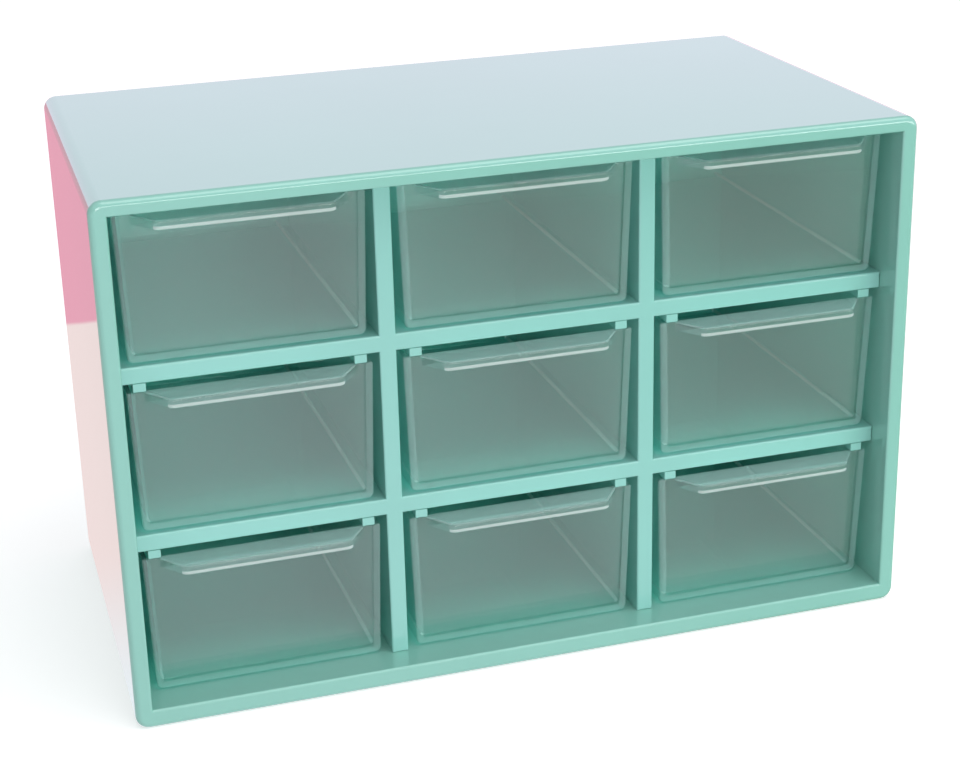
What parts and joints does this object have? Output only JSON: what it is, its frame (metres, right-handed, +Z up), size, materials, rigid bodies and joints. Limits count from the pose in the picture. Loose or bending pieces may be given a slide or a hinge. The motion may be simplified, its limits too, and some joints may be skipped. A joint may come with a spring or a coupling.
{
  "type": "desktop drawer organizer",
  "caption": "Small desktop cabinet: a moulded case with a set-back divider grid and clear pull-out drawers with ledge handles.",
  "frame": {"origin": "on the surface that the case stands on, under the middle of its bounding box", "axes": "+Z up, +X to the right seen from the front, +Y towards the back, so the drawers pull out along -Y"},
  "size_m": [0.184, 0.098, 0.12],
  "materials": {
    "case_plastic": "glossy opaque mint green moulding",
    "grid_plastic": "glossy opaque mint green moulding",
    "drawer_plastic": "clear, slightly grey moulding"
  },
  "bodies": {
    "case": {"case_shell": "case_plastic", "divider_grid": "grid_plastic"},
    "drawer_bottom_left": {"drawer_bottom_left": "drawer_plastic"},
    "drawer_bottom_middle": {"drawer_bottom_middle": "drawer_plastic"},
    "drawer_bottom_right": {"drawer_bottom_right": "drawer_plastic"},
    "drawer_centre_left": {"drawer_centre_left": "drawer_plastic"},
    "drawer_centre_middle": {"drawer_centre_middle": "drawer_plastic"},
    "drawer_centre_right": {"drawer_centre_right": "drawer_plastic"},
    "drawer_top_left": {"drawer_top_left": "drawer_plastic"},
    "drawer_top_middle": {"drawer_top_middle": "drawer_plastic"},
    "drawer_top_right": {"drawer_top_right": "drawer_plastic"}
  },
  "joints": [
    {"name": "slide_bottom_left", "type": "slide", "parent": "case", "child": "drawer_bottom_left", "axis": [0, -1, 0], "range_m": [0, 0.075]},
    {"name": "slide_bottom_middle", "type": "slide", "parent": "case", "child": "drawer_bottom_middle", "axis": [0, -1, 0], "range_m": [0, 0.075]},
    {"name": "slide_bottom_right", "type": "slide", "parent": "case", "child": "drawer_bottom_right", "axis": [0, -1, 0], "range_m": [0, 0.075]},
    {"name": "slide_centre_left", "type": "slide", "parent": "case", "child": "drawer_centre_left", "axis": [0, -1, 0], "range_m": [0, 0.075]},
    {"name": "slide_centre_middle", "type": "slide", "parent": "case", "child": "drawer_centre_middle", "axis": [0, -1, 0], "range_m": [0, 0.075]},
    {"name": "slide_centre_right", "type": "slide", "parent": "case", "child": "drawer_centre_right", "axis": [0, -1, 0], "range_m": [0, 0.075]},
    {"name": "slide_top_left", "type": "slide", "parent": "case", "child": "drawer_top_left", "axis": [0, -1, 0], "range_m": [0, 0.075]},
    {"name": "slide_top_middle", "type": "slide", "parent": "case", "child": "drawer_top_middle", "axis": [0, -1, 0], "range_m": [0, 0.075]},
    {"name": "slide_top_right", "type": "slide", "parent": "case", "child": "drawer_top_right", "axis": [0, -1, 0], "range_m": [0, 0.075]}
  ]
}
